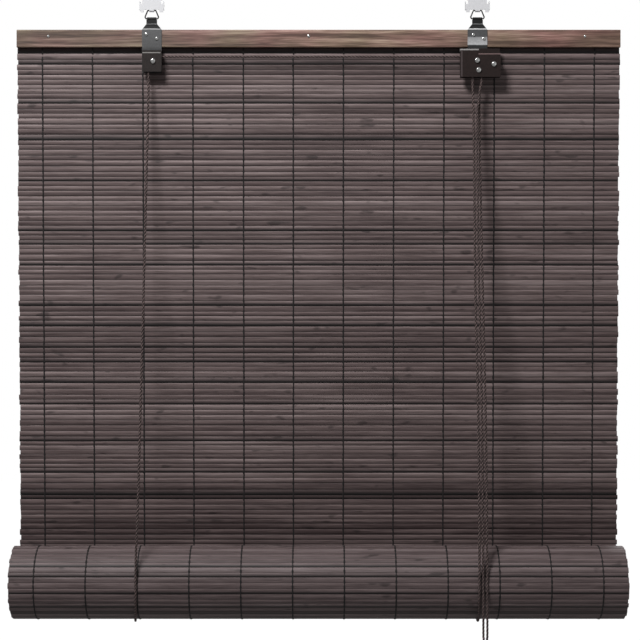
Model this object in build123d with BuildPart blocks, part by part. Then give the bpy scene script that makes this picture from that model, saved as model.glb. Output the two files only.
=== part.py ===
from build123d import *
import math
import os

os.makedirs("parts", exist_ok=True)

# Bamboo roll up blind, hung from two ceiling brackets, with its lower part rolled up.
# X runs along the headrail, -Y faces the room and +Z is up. Sizes are in millimetres.
# The origin is on the ceiling face of the brackets, midway between their two screw holes.

# Blind
blind_width = 1000.0
drop_to_roll = 910.0
headrail_height = 29.0
headrail_thickness = 8.0
headrail_easing = 1.5
rail_offset = 6.5
hang_drop = 54.0

# Slats of the curtain
slat_pitch = 8.44
slat_height = 7.7
slat_thickness = 1.4
slat_crown = 0.25
curtain_lean = 30.0
first_slat_drop = 9.3
held_row_drops = (15.5, 23.9, 33.6)
slat_clearance = 0.2

# Warp threads
thread_count = 12
thread_margin = 41.5
thread_width = 1.8
thread_depth = 0.6
thread_clearance = 0.05

# Roll: each turn is two half circles about two centres
roll_radius = 61.0
roll_turn_pitch = 5.5
roll_half_turns = 8
roll_strip = 1.6
batten_width = 25.0
batten_thickness = 8.0
batten_clearance = 0.2

# Hangers and brackets
hanger_spacing = 539.0
hang_y = -12.0
bracket_sheet = 1.5
bracket_lip_width = 40.6
bracket_web_width = 31.0
bracket_web_height = 12.0
bracket_lip_height = 9.5
bracket_tab_width = 6.0
bracket_tab_drop = 4.0
bracket_cheek_depth = 7.0
bracket_cheek_rise = 4.0
bracket_plate_back = 9.0
bracket_corner_radius = 2.0
screw_hole_radius = 2.25
tongue_width = 8.0
curl_sweep = 200.0

ring_wire_radius = 1.1
ring_fit = 0.06
ring_bar_z = -22.6
ring_length = 13.5
ring_top_half = 6.7
ring_wide_half = 11.3
ring_low_half = 9.6
ring_wide_rise = 2.5
ring_top_bend = 1.4
ring_wide_bend = 1.6
ring_low_bend = 1.25

hanger_sheet = 1.2
hanger_plate_width = 32.5
hanger_neck_width = 17.6
knuckle_width = 15.6
neck_flap_length = 8.0
flare_start_drop = 10.0
hanger_left_tail = 72.0
hanger_right_tail = 79.0

rail_rivet_head_radius = 3.0
rail_rivet_head_height = 1.6
rail_rivet_shank_radius = 1.2
rail_rivet_length = 7.0
rail_rivet_dome = 1.28
left_rivet_places = ((-9.3, 7.7), (8.0, 15.1))
right_rivet_places = ((-6.8, 8.9), (10.8, 15.1))
nail_head_radius = 2.3
nail_head_height = 1.2
nail_dome = 0.84
nail_shank_radius = 0.9
nail_places = (-447.5, -16.3, 441.0)
nail_drop = 11.0

# Cord, pulleys and lock
cord_diameter = 3.5
cord_gap = 0.3
groove_gap = 0.1
pulley_cord_radius = 7.5
pulley_flange = 0.8
pulley_width = 5.7
pulley_side_gap = 0.2
axle_radius = 1.5
axle_fit = 0.05
housing_sheet = 1.0
housing_gap = 6.1
lock_gap = 12.2
axle_head_radius = 4.6
axle_head_height = 3.0
axle_dome = 2.55
rear_head_radius = 2.6
rear_head_height = 0.8

left_axle_x = 2.6
left_axle_drop = 53.3
left_housing_x = 1.0
left_housing_half = 15.9
left_housing_top = 35.8
left_housing_height = 35.2
housing_corner_radius = 1.5

lock_axle_x = -1.6
lock_axle_drop = 53.1
roller_x = 0.7
roller_drop = 69.0
roller_radius = 3.3
roller_flute_radius = 0.3
roller_flutes = 16
cam_x = 25.8
cam_drop = 59.3
cam_boss_radius = 4.5
cam_nose_radius = 3.0
cam_nose_rise = 1.0
cam_side_gap = 0.3
cam_tooth_radius = 0.35
cam_teeth = 7
cam_teeth_start = 120
cam_teeth_sweep = 150
lock_left = -29.1
lock_right = 36.8
lock_top = 34.3
lock_step_x = 0.7
lock_step = 7.3
lock_back_rise = 2.7
lock_height = 46.2
lock_fold_radius = 0.8
cross_hole_radius = 3.2

# Cord routes
cord_low_end = 85.0
cord_straight = 60.0
back_cord_straight = 20.0
cord_bend_share = 0.45
left_bight_front_x = -17.5
left_bight_back_x = -32.0
right_bight_front_x = -4.5
right_bight_back_x = 0.5
tail_xs = (1.6, 8.0)
coil_radius = 21.0
coil_section = 21.0
coil_corner_radius = 6.3
coil_top_drop = 1002.0
tie_wall = 1.5
tie_sweep = 16.0
staple_wire_radius = 0.75
staple_leg = 6.0
staple_drop = 6.0
staple_bend = 1.05
knot_radius = 3.6

# Derived places
rail_top = -hang_drop
rail_bottom = rail_top - headrail_height
rail_front = hang_y + hanger_sheet / 2
rail_back = rail_front + headrail_thickness
cord_radius = cord_diameter / 2
roll_z = rail_top - drop_to_roll
curtain_y = rail_back + thread_depth + 2 * thread_clearance + slat_thickness / 2
curtain_top = rail_bottom - first_slat_drop
lean_slope = curtain_lean / (curtain_top - roll_z)
lean_angle = math.degrees(math.atan(lean_slope))
left_x = -hanger_spacing / 2
right_x = hanger_spacing / 2
lip_front = hang_y - ring_wire_radius - ring_fit - bracket_sheet
hanger_front = hang_y - hanger_sheet / 2
hanger_back = hang_y + hanger_sheet / 2
ring_low_z = ring_bar_z - ring_length


def curtain_middle(z):
    """Y of the curtain's middle plane at a height: it leans back towards the roll."""
    return curtain_y + lean_slope * max(0.0, curtain_top - z)


roll_back = curtain_middle(roll_z) + slat_thickness / 2
roll_y = roll_back - roll_radius
bight_radius = roll_radius + thread_depth + cord_gap + cord_radius
bight_front_y = roll_y - bight_radius
bight_back_y = roll_y + bight_radius


def write_piece(piece, name):
    piece.part.label = name
    export_step(piece.part, f"parts/{name}.step")


# Hook brackets: ceiling plate, web, front lip with two tabs, side cheeks and a curled tongue


def make_bracket(x):
    lip_top = -bracket_web_height
    lip_bottom = lip_top - bracket_lip_height
    curl_inner = ring_wire_radius + ring_fit
    curl_outer = curl_inner + bracket_sheet
    with BuildPart() as bracket:
        with BuildSketch(Plane.XY.offset(-bracket_sheet)):
            with Locations((x, (bracket_plate_back + lip_front) / 2)):
                RectangleRounded(bracket_web_width, bracket_plate_back - lip_front, bracket_corner_radius)
        extrude(amount=bracket_sheet)
        with Locations((x, 0, 0)):
            Hole(radius=screw_hole_radius)
        with BuildSketch(Plane.XZ.offset(-lip_front)):
            with Locations((x, lip_top / 2)):
                Rectangle(bracket_web_width, bracket_web_height)
            with Locations((x, (lip_top + lip_bottom) / 2)):
                Rectangle(bracket_lip_width, bracket_lip_height)
            for side in (-1, 1):
                tab_x = x + side * (bracket_lip_width / 2 - bracket_tab_width / 2 - bracket_sheet)
                with Locations((tab_x, lip_bottom - bracket_tab_drop / 2)):
                    Rectangle(bracket_tab_width, bracket_tab_drop)
            with Locations((x, (lip_bottom + ring_bar_z) / 2)):
                Rectangle(tongue_width, lip_bottom - ring_bar_z)
        extrude(amount=-bracket_sheet)
        for side in (-1, 1):
            cheek_x = x + side * (bracket_lip_width / 2 - bracket_sheet / 2)
            cheek_z = (lip_top + bracket_cheek_rise + lip_bottom) / 2
            with BuildSketch(Plane.YZ.offset(cheek_x - bracket_sheet / 2)):
                with Locations((lip_front + bracket_cheek_depth / 2, cheek_z)):
                    Rectangle(bracket_cheek_depth, bracket_lip_height + bracket_cheek_rise)
            extrude(amount=bracket_sheet)
        with BuildSketch(Plane.YZ.offset(x - tongue_width / 2)):
            with BuildLine():
                inner = CenterArc((hang_y, ring_bar_z), curl_inner, 180, curl_sweep)
                outer = CenterArc((hang_y, ring_bar_z), curl_outer, 180, curl_sweep)
                Line(inner @ 0, outer @ 0)
                Line(inner @ 1, outer @ 1)
            make_face()
        extrude(amount=tongue_width)
    return bracket


write_piece(make_bracket(left_x), "left_hook_bracket")
write_piece(make_bracket(right_x), "right_hook_bracket")


# Wire rings: bent black wire between the bracket's tongue and the hanger's knuckle


def make_ring(x):
    corners = [
        (x - ring_top_half, hang_y, ring_bar_z),
        (x - ring_wide_half, hang_y, ring_low_z + ring_wide_rise),
        (x - ring_low_half, hang_y, ring_low_z),
        (x + ring_low_half, hang_y, ring_low_z),
        (x + ring_wide_half, hang_y, ring_low_z + ring_wide_rise),
        (x + ring_top_half, hang_y, ring_bar_z),
    ]
    bends = [ring_top_bend, ring_wide_bend, ring_low_bend, ring_low_bend, ring_wide_bend, ring_top_bend]
    with BuildPart() as ring:
        with BuildLine() as path:
            FilletPolyline(corners, radius=bends, close=True)
        with BuildSketch(Plane(origin=(x, hang_y, ring_low_z), z_dir=(1, 0, 0))):
            Circle(ring_wire_radius)
        sweep(path=path.wire())
    return ring


write_piece(make_ring(left_x), "left_wire_ring")
write_piece(make_ring(right_x), "right_wire_ring")

# Places of the fasteners that pass through the hangers and the headrail
rivet_spots = [(left_x + along, rail_top - drop) for along, drop in left_rivet_places]
rivet_spots += [(right_x + along, rail_top - drop) for along, drop in right_rivet_places]
nail_spots = [(rail_offset + place, rail_top - nail_drop) for place in nail_places]
staple_z = rail_top - staple_drop
back_cord_y = curtain_y + slat_thickness / 2 + thread_depth + cord_gap + cord_radius
cord_back_xs = [left_x + left_bight_back_x, right_x + right_bight_back_x]
staple_half = cord_radius + staple_wire_radius + groove_gap

# Headrail: flat board with eased long edges, drilled for its fasteners
with BuildPart() as headrail:
    with BuildSketch(Plane.YZ.offset(rail_offset - blind_width / 2)):
        with Locations(((rail_front + rail_back) / 2, (rail_top + rail_bottom) / 2)):
            RectangleRounded(headrail_thickness, headrail_height, headrail_easing)
    extrude(amount=blind_width)
    with BuildSketch(Plane.XZ.offset(-rail_front)):
        with Locations(*rivet_spots):
            Circle(rail_rivet_shank_radius)
    extrude(amount=-(rail_rivet_length - hanger_sheet), mode=Mode.SUBTRACT)
    with BuildSketch(Plane.XZ.offset(-rail_front)):
        with Locations(*nail_spots):
            Circle(nail_shank_radius)
    extrude(amount=-headrail_thickness, mode=Mode.SUBTRACT)
    with BuildSketch(Plane.XZ.offset(-rail_back)):
        for cord_x in cord_back_xs:
            with Locations((cord_x - staple_half, staple_z), (cord_x + staple_half, staple_z)):
                Circle(staple_wire_radius + axle_fit)
    extrude(amount=staple_leg + axle_fit, mode=Mode.SUBTRACT)
write_piece(headrail, "headrail")

# Domed nails of the headrail
with BuildPart() as nails:
    for nail_x, nail_z in nail_spots:
        with BuildSketch(Plane.XZ.offset(-rail_front)):
            with Locations((nail_x, nail_z)):
                Circle(nail_head_radius)
        extrude(amount=nail_head_height)
        with BuildSketch(Plane.XZ.offset(-rail_front)):
            with Locations((nail_x, nail_z)):
                Circle(nail_shank_radius)
        extrude(amount=-headrail_thickness)
    fillet(nails.edges().filter_by(GeomType.CIRCLE).group_by(Axis.Y)[0], nail_dome)
write_piece(nails, "headrail_nails")


# Hangers: a knuckle round the ring, a neck with its lapped end, and a plate that runs below the headrail


def make_hanger(x, tail, spots, axle_spots):
    bore = ring_wire_radius + ring_fit
    shoulder_z = rail_top
    flare_z = ring_low_z - flare_start_drop + hanger_sheet
    with BuildPart() as hanger:
        with BuildSketch(Plane.YZ.offset(x - knuckle_width / 2)):
            with Locations((hang_y, ring_low_z)):
                Circle(bore + hanger_sheet)
                Circle(bore, mode=Mode.SUBTRACT)
        extrude(amount=knuckle_width)
        with BuildSketch(Plane.XZ.offset(-hanger_back)):
            with BuildLine():
                Polyline(
                    (x - hanger_neck_width / 2, ring_low_z - bore - hanger_sheet / 2),
                    (x - hanger_neck_width / 2, flare_z),
                    (x - hanger_plate_width / 2, shoulder_z),
                    (x - hanger_plate_width / 2, rail_top - tail),
                    (x + hanger_plate_width / 2, rail_top - tail),
                    (x + hanger_plate_width / 2, shoulder_z),
                    (x + hanger_neck_width / 2, flare_z),
                    (x + hanger_neck_width / 2, ring_low_z - bore - hanger_sheet / 2),
                    close=True,
                )
            make_face()
            with Locations(*spots):
                Circle(rail_rivet_shank_radius, mode=Mode.SUBTRACT)
            with Locations(*axle_spots):
                Circle(axle_radius, mode=Mode.SUBTRACT)
        extrude(amount=hanger_sheet)
        with BuildSketch(Plane.XZ.offset(-hanger_front)):
            with Locations((x, ring_low_z - bore - hanger_sheet / 2 - neck_flap_length / 2)):
                Rectangle(hanger_neck_width, neck_flap_length)
        extrude(amount=hanger_sheet)
    return hanger


left_axle = (left_x + left_axle_x, rail_top - left_axle_drop)
lock_axle = (right_x + lock_axle_x, rail_top - lock_axle_drop)
roller_axle = (right_x + roller_x, rail_top - roller_drop)
cam_axle = (right_x + cam_x, rail_top - cam_drop)
write_piece(make_hanger(left_x, hanger_left_tail, rivet_spots[:2], [left_axle]), "left_hanger")
write_piece(make_hanger(right_x, hanger_right_tail, rivet_spots[2:], [lock_axle, roller_axle]), "right_hanger")

# Domed hanger nails, driven through the hangers into the headrail
with BuildPart() as hanger_nails:
    for nail_x, nail_z in rivet_spots:
        with BuildSketch(Plane.XZ.offset(-hanger_front)):
            with Locations((nail_x, nail_z)):
                Circle(rail_rivet_head_radius)
        extrude(amount=rail_rivet_head_height)
        with BuildSketch(Plane.XZ.offset(-hanger_front)):
            with Locations((nail_x, nail_z)):
                Circle(rail_rivet_shank_radius)
        extrude(amount=-rail_rivet_length)
    fillet(hanger_nails.edges().filter_by(GeomType.CIRCLE).group_by(Axis.Y)[0], rail_rivet_dome)
write_piece(hanger_nails, "hanger_nails")

# Left pulley housing: two cheeks joined by a folded top
left_front = hanger_front - 2 * housing_sheet - housing_gap
with BuildPart() as left_housing:
    housing_top = rail_top - left_housing_top
    with BuildSketch(Plane.XZ.offset(-hanger_front)):
        with Locations((left_x + left_housing_x, housing_top - left_housing_height / 2)):
            RectangleRounded(2 * left_housing_half, left_housing_height, housing_corner_radius)
    extrude(amount=hanger_front - left_front)
    with BuildSketch(Plane.XZ.offset(-(hanger_front - housing_sheet))):
        with Locations((left_x + left_housing_x, housing_top - housing_sheet - left_housing_height / 2)):
            Rectangle(2 * (left_housing_half + housing_sheet), left_housing_height)
    extrude(amount=housing_gap, mode=Mode.SUBTRACT)
    with BuildSketch(Plane.XZ.offset(-hanger_front)):
        with Locations(left_axle):
            Circle(axle_radius)
    extrude(amount=hanger_front - left_front, mode=Mode.SUBTRACT)
write_piece(left_housing, "left_pulley_housing")

# Cord lock housing: back cheek, left side wall with a hole for the cross cord, stepped front cheek
lock_front = hanger_front - 2 * housing_sheet - lock_gap
rear_wheel_y = hanger_front - housing_sheet - pulley_side_gap - pulley_width / 2
front_wheel_y = rear_wheel_y - pulley_width - pulley_side_gap
cross_cord_z = lock_axle[1] + pulley_cord_radius
with BuildPart() as lock_housing:
    wall_top = rail_top - lock_top
    wall_bottom = wall_top - lock_height
    wide = lock_right - lock_left
    middle = right_x + (lock_left + lock_right) / 2
    with BuildSketch(Plane.XZ.offset(-hanger_front)):
        with Locations((middle, (wall_top + lock_back_rise + wall_bottom) / 2)):
            Rectangle(wide, lock_height + lock_back_rise)
    extrude(amount=housing_sheet)
    with BuildSketch(Plane.XZ.offset(-hanger_front)):
        with Locations((right_x + lock_left + housing_sheet / 2, (wall_top + wall_bottom) / 2)):
            Rectangle(housing_sheet, lock_height)
    extrude(amount=hanger_front - lock_front)
    with BuildSketch(Plane.XZ.offset(-(lock_front + housing_sheet))):
        with BuildLine():
            Polyline(
                (right_x + lock_left, wall_top),
                (right_x + lock_step_x, wall_top),
                (right_x + lock_step_x, wall_top - lock_step),
                (right_x + lock_right, wall_top - lock_step),
                (right_x + lock_right, wall_bottom),
                (right_x + lock_left, wall_bottom),
                close=True,
            )
        make_face()
    extrude(amount=housing_sheet)
    fillet(lock_housing.edges().filter_by(Axis.Z).group_by(Axis.X)[0].sort_by(Axis.Y)[0], lock_fold_radius)
    with BuildSketch(Plane.XZ.offset(-hanger_front)):
        with Locations(lock_axle, roller_axle, cam_axle):
            Circle(axle_radius)
    extrude(amount=hanger_front - lock_front, mode=Mode.SUBTRACT)
    with BuildSketch(Plane.YZ.offset(right_x + lock_left)):
        with Locations((rear_wheel_y, cross_cord_z)):
            Circle(cross_hole_radius)
    extrude(amount=housing_sheet, mode=Mode.SUBTRACT)
write_piece(lock_housing, "cord_lock_housing")


# Axles: shank, large domed head at the front and a small peened head at the back


def make_axle(spot, back_y, front_y):
    with BuildPart() as axle:
        with BuildSketch(Plane.XZ.offset(-back_y)):
            with Locations(spot):
                Circle(axle_radius)
        extrude(amount=back_y - front_y)
        with BuildSketch(Plane.XZ.offset(-front_y)):
            with Locations(spot):
                Circle(axle_head_radius)
        extrude(amount=axle_head_height)
        fillet(axle.edges().filter_by(GeomType.CIRCLE).group_by(Axis.Y)[0], axle_dome)
        with BuildSketch(Plane.XZ.offset(-back_y)):
            with Locations(spot):
                Circle(rear_head_radius)
        extrude(amount=-rear_head_height)
    return axle


write_piece(make_axle(left_axle, hanger_back, left_front), "left_pulley_axle")
write_piece(make_axle(lock_axle, hanger_back, lock_front), "lock_pulley_axle")
write_piece(make_axle(roller_axle, hanger_back, lock_front), "lock_roller_axle")
write_piece(make_axle(cam_axle, hanger_front, lock_front), "lock_cam_axle")


# Pulley wheels: turned, with a half-round groove for the cord


def make_pulley(spot, middle_y):
    groove = cord_radius + groove_gap
    outer = pulley_cord_radius + pulley_flange
    with BuildPart() as pulley:
        with BuildSketch(Plane.XZ.offset(-(middle_y + pulley_width / 2))):
            with Locations(spot):
                Circle(outer)
                Circle(axle_radius + axle_fit, mode=Mode.SUBTRACT)
        extrude(amount=pulley_width)
        with BuildSketch(Plane(origin=(spot[0], middle_y, spot[1]), x_dir=(1, 0, 0), z_dir=(0, 0, 1))):
            with Locations((pulley_cord_radius, 0)):
                Circle(groove)
            with Locations((pulley_cord_radius + groove, 0)):
                Rectangle(2 * groove, 2 * groove)
        revolve(axis=Axis((spot[0], middle_y, spot[1]), (0, 1, 0)), mode=Mode.SUBTRACT)
    return pulley


write_piece(make_pulley(left_axle, rear_wheel_y), "left_pulley")
write_piece(make_pulley(lock_axle, rear_wheel_y), "cross_cord_pulley")
write_piece(make_pulley(lock_axle, front_wheel_y), "right_cord_pulley")

# Lock roller: a ribbed sleeve on its own axle
inner_back = hanger_front - housing_sheet
with BuildPart() as lock_roller:
    with BuildSketch(Plane.XZ.offset(-(inner_back - cam_side_gap))):
        with Locations(roller_axle):
            Circle(roller_radius)
            Circle(axle_radius + axle_fit, mode=Mode.SUBTRACT)
            with PolarLocations(roller_radius, roller_flutes):
                Circle(roller_flute_radius, mode=Mode.SUBTRACT)
    extrude(amount=lock_gap - 2 * cam_side_gap)
write_piece(lock_roller, "lock_roller")

# Lock cam: a toothed lever on its own axle that pinches the pull cords against the roller
tail_top_x = lock_axle[0] + pulley_cord_radius
nose = (tail_top_x + cord_radius + cord_gap + cam_nose_radius, roller_axle[1] + cam_nose_rise)
with BuildPart() as lock_cam:
    with BuildSketch(Plane.XZ.offset(-(inner_back - cam_side_gap))):
        with Locations(cam_axle):
            Circle(cam_boss_radius)
        with Locations(nose):
            Circle(cam_nose_radius)
        make_hull()
        with Locations(nose):
            with PolarLocations(cam_nose_radius, cam_teeth, cam_teeth_start, cam_teeth_sweep):
                Circle(cam_tooth_radius, mode=Mode.SUBTRACT)
        with Locations(cam_axle):
            Circle(axle_radius + axle_fit, mode=Mode.SUBTRACT)
    extrude(amount=lock_gap - 2 * cam_side_gap)
write_piece(lock_cam, "lock_cam")

# Slats


def slat_sketch(heights):
    """Profiles of the slats at the given heights: flat at the back, crowned at the front."""
    half_h = slat_height / 2
    half_t = slat_thickness / 2
    for height in heights:
        tilt = lean_angle if height < curtain_top else 0.0
        with Locations(Location((curtain_middle(height), height, 0), (0, 0, tilt))):
            with BuildSketch(mode=Mode.PRIVATE) as profile:
                with BuildLine():
                    Polyline(
                        (-half_t + slat_crown, half_h),
                        (half_t, half_h),
                        (half_t, -half_h),
                        (-half_t + slat_crown, -half_h),
                    )
                    ThreePointArc((-half_t + slat_crown, half_h), (-half_t, 0), (-half_t + slat_crown, -half_h))
                make_face()
            add(profile.sketch)


slat_left = rail_offset - blind_width / 2
last_slat_z = roll_z + slat_height / 2 + slat_clearance
slat_count = int((curtain_top - slat_height / 2 - last_slat_z) / slat_pitch) + 1
slat_heights = [last_slat_z + row * slat_pitch for row in range(slat_count)]
print("slats", slat_count, "top slat", slat_heights[-1])
with BuildPart() as curtain:
    with BuildSketch(Plane.YZ.offset(slat_left)):
        slat_sketch(slat_heights)
    extrude(amount=blind_width)
write_piece(curtain, "curtain_slats")

# Slat rows above the curtain: two behind the headrail and one just below it
with BuildPart() as held_slats:
    with BuildSketch(Plane.YZ.offset(slat_left)):
        slat_sketch([rail_top - drop for drop in held_row_drops])
    extrude(amount=blind_width)
write_piece(held_slats, "held_slats")

# Warp threads of the curtain: one in front of the slats and one behind, at even places
thread_span = blind_width - 2 * thread_margin
thread_xs = [slat_left + thread_margin + k * thread_span / (thread_count - 1) for k in range(thread_count)]
thread_top = rail_top - held_row_drops[0] + slat_height / 2
with BuildPart() as threads:
    for thread_x in thread_xs:
        with BuildSketch(Plane.YZ.offset(thread_x - thread_width / 2)):
            for side in (-1, 1):
                near = side * (slat_thickness / 2 + thread_clearance)
                far = side * (slat_thickness / 2 + thread_clearance + thread_depth)
                with BuildLine():
                    Polyline(
                        (curtain_y + near, thread_top),
                        (curtain_y + far, thread_top),
                        (curtain_y + far, curtain_top),
                        (curtain_middle(roll_z) + far, roll_z + slat_clearance),
                        (curtain_middle(roll_z) + near, roll_z + slat_clearance),
                        (curtain_y + near, curtain_top),
                        close=True,
                    )
                make_face()
        extrude(amount=thread_width)
write_piece(threads, "warp_threads")


# Roll: a spiral of half circles, whose centre moves by half a pitch at each half turn


def spiral_edges(offset, half_turns):
    """Half circles from the back of the roll, under it and up its front, then on inwards."""
    for half in range(half_turns):
        radius = roll_radius - half * roll_turn_pitch / 2 + offset
        center_y = roll_y - (half % 2) * roll_turn_pitch / 2
        CenterArc((center_y, roll_z), radius, 180 * (half % 2), -180)


def spiral_end(offset, half_turns):
    """Where the spiral ends, on the level of the roll's axis."""
    shrink = (half_turns - 1) * roll_turn_pitch / 2
    radius = roll_radius - shrink + offset
    center_y = roll_y - ((half_turns - 1) % 2) * roll_turn_pitch / 2
    side = 1 if half_turns % 2 == 0 else -1
    return (center_y + side * radius, roll_z)


def make_spiral(inner, outer, half_turns, starts, width):
    """A strip between two offsets from the spiral, extruded from each start along X."""
    with BuildPart() as strip:
        for start in starts:
            with BuildSketch(Plane.YZ.offset(start)):
                with BuildLine():
                    spiral_edges(inner, half_turns)
                    spiral_edges(outer, half_turns)
                    Line((roll_y + roll_radius + inner, roll_z), (roll_y + roll_radius + outer, roll_z))
                    Line(spiral_end(inner, half_turns), spiral_end(outer, half_turns))
                make_face()
            extrude(amount=width)
    return strip


write_piece(make_spiral(-roll_strip, 0.0, roll_half_turns, [slat_left], blind_width), "blind_roll")

# Warp threads on the outer turn of the roll
thread_starts = [thread_x - thread_width / 2 for thread_x in thread_xs]
outer_thread = thread_clearance + thread_depth
write_piece(make_spiral(thread_clearance, outer_thread, 2, thread_starts, thread_width), "roll_threads")

# Bottom batten, lying in the hollow of the roll
lowest_half = roll_half_turns - 2
inner_radius = roll_radius - lowest_half * roll_turn_pitch / 2 - roll_strip
batten_drop = math.sqrt(inner_radius**2 - (batten_width / 2) ** 2) - batten_clearance
with BuildPart() as batten:
    with BuildSketch(Plane.YZ.offset(slat_left)):
        with Locations((roll_y, roll_z - batten_drop + batten_thickness / 2)):
            RectangleRounded(batten_width, batten_thickness, headrail_easing)
    extrude(amount=blind_width)
write_piece(batten, "bottom_batten")


# Cord tubes: straight runs joined by tangent arcs


def corner_radii(points):
    radii = []
    for before, here, after in zip(points, points[1:], points[2:]):
        run_in = Vector(*here) - Vector(*before)
        run_out = Vector(*after) - Vector(*here)
        turn = run_in.get_angle(run_out)
        shorter = min(run_in.length, run_out.length)
        radii.append(cord_bend_share * shorter / math.tan(math.radians(turn / 2)))
    return radii


def make_tube(name, points, radii=None):
    radii = radii or corner_radii(points)
    print(name, "radii", [round(radius, 1) for radius in radii])
    with BuildPart() as tube:
        with BuildLine() as path:
            FilletPolyline(points, radius=radii)
        with BuildSketch(Plane(origin=path.wire() @ 0, z_dir=path.wire() % 0)):
            Circle(cord_radius)
        sweep(path=path.wire())
    section = math.pi * cord_radius**2
    print(name, "volume ratio", round(tube.part.volume / (section * path.wire().length), 4))
    write_piece(tube, name)


cord_low_z = rail_top - cord_low_end
left_fall_x = left_axle[0] - pulley_cord_radius
right_fall_x = lock_axle[0] - pulley_cord_radius
left_bight_front = left_x + left_bight_front_x
right_bight_front = right_x + right_bight_front_x


def front_run(name, top_x, low_x, top_y):
    """From under its pulley down to the front of the roll."""
    make_tube(name, [
        (top_x, top_y, cord_low_z),
        (top_x, top_y, cord_low_z - cord_straight / 2),
        (low_x, bight_front_y, roll_z + cord_straight),
        (low_x, bight_front_y, roll_z),
    ])


def back_run(name, x):
    """From its staple behind the headrail down behind the curtain to the back of the roll."""
    make_tube(name, [
        (x, back_cord_y, staple_z + staple_wire_radius),
        (x, back_cord_y, curtain_top + back_cord_straight),
        (x, bight_back_y, roll_z + cord_straight),
        (x, bight_back_y, roll_z),
    ])


def make_bight(name, front_x, back_x):
    """Half a turn of cord under the roll, a little askew."""
    across = Vector(back_x - front_x, bight_back_y - bight_front_y, 0)
    middle = Vector((front_x + back_x) / 2, roll_y, roll_z)
    with BuildPart() as bight:
        with BuildSketch(Plane(origin=middle, x_dir=across.normalized(), z_dir=(0, 0, 1))):
            with Locations((across.length / 2, 0)):
                Circle(cord_radius)
        turning = across.normalized().cross(Vector(0, 0, 1))
        revolve(axis=Axis(middle, -turning), revolution_arc=180)
    write_piece(bight, name)


front_run("left_cord_front", left_fall_x, left_bight_front, rear_wheel_y)
back_run("left_cord_back", cord_back_xs[0])
make_bight("left_cord_bight", left_bight_front, cord_back_xs[0])
front_run("right_cord_front", right_fall_x, right_bight_front, front_wheel_y)
back_run("right_cord_back", cord_back_xs[1])
make_bight("right_cord_bight", right_bight_front, cord_back_xs[1])

# Cross cord: over the left pulley, along under the headrail, over its pulley in the lock
left_top_z = left_axle[1] + pulley_cord_radius
cross_points = [
    (left_fall_x, rear_wheel_y, cord_low_z),
    (left_fall_x, rear_wheel_y, left_top_z),
    (tail_top_x, rear_wheel_y, cross_cord_z),
    (tail_top_x, rear_wheel_y, cord_low_z),
]
make_tube("cross_cord", cross_points, [pulley_cord_radius, pulley_cord_radius])

# Right lift cord's head: half a turn over the other pulley of the lock
with BuildPart() as right_head:
    with BuildLine() as head_path:
        rise = Line((right_fall_x, front_wheel_y, cord_low_z), (right_fall_x, front_wheel_y, lock_axle[1]))
        over = ThreePointArc(
            rise @ 1,
            (lock_axle[0], front_wheel_y, cross_cord_z),
            (tail_top_x, front_wheel_y, lock_axle[1]),
        )
        Line(over @ 1, (tail_top_x, front_wheel_y, cord_low_z))
    with BuildSketch(Plane(origin=rise @ 0, z_dir=(0, 0, 1))):
        Circle(cord_radius)
    sweep(path=head_path.wire())
write_piece(right_head, "right_cord_head")

# Pull cord: two strands from the lock down over the roll's front to the tied coil
coil_z = rail_top - coil_top_drop - tie_wall - coil_radius - coil_section / 2
coil_x = right_x + sum(tail_xs) / 2
coil_outer = coil_radius + coil_section / 2
tie_top_z = coil_z + coil_outer + tie_wall
for tail_name, tail_x, wheel_y in (
    ("pull_cord_front", right_x + tail_xs[0], front_wheel_y),
    ("pull_cord_rear", right_x + tail_xs[1], rear_wheel_y),
):
    make_tube(tail_name, [
        (tail_top_x, wheel_y, cord_low_z),
        (tail_top_x, wheel_y, cord_low_z - cord_straight / 2),
        (tail_x, bight_front_y, roll_z + cord_straight / 2),
        (tail_x, bight_front_y, tie_top_z),
    ])

# Coil of the pull cord's spare length, and the tie round it
with BuildPart() as coil:
    with BuildSketch(Plane(origin=(coil_x, bight_front_y, coil_z), x_dir=(1, 0, 0), z_dir=(0, 0, 1))):
        with Locations((coil_radius, 0)):
            RectangleRounded(coil_section, coil_section, coil_corner_radius)
    revolve(axis=Axis((coil_x, bight_front_y, coil_z), (0, 1, 0)))
write_piece(coil, "pull_cord_coil")

tie_start = math.radians(90 - tie_sweep / 2)
with BuildPart() as tie:
    tie_dir = (math.cos(tie_start), 0, math.sin(tie_start))
    tie_normal = (-math.sin(tie_start), 0, math.cos(tie_start))
    with BuildSketch(Plane(origin=(coil_x, bight_front_y, coil_z), x_dir=tie_dir, z_dir=tie_normal)):
        with Locations((coil_radius, 0)):
            RectangleRounded(coil_section + 2 * tie_wall, coil_section + 2 * tie_wall, coil_corner_radius)
            RectangleRounded(
                coil_section + 2 * thread_clearance,
                coil_section + 2 * thread_clearance,
                coil_corner_radius,
                mode=Mode.SUBTRACT,
            )
    revolve(axis=Axis((coil_x, bight_front_y, coil_z), (0, -1, 0)), revolution_arc=tie_sweep)
write_piece(tie, "coil_tie")

# Staples at the back of the headrail and the knots above them
with BuildPart() as staples:
    crown_y = back_cord_y + cord_radius + groove_gap + staple_wire_radius
    for cord_x in cord_back_xs:
        with BuildLine() as staple_path:
            FilletPolyline(
                (cord_x - staple_half, rail_back - staple_leg, staple_z),
                (cord_x - staple_half, crown_y, staple_z),
                (cord_x + staple_half, crown_y, staple_z),
                (cord_x + staple_half, rail_back - staple_leg, staple_z),
                radius=staple_bend,
            )
        with BuildSketch(Plane(origin=staple_path.wire() @ 0, z_dir=(0, 1, 0))):
            Circle(staple_wire_radius)
        sweep(path=staple_path.wire())
write_piece(staples, "cord_staples")

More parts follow.
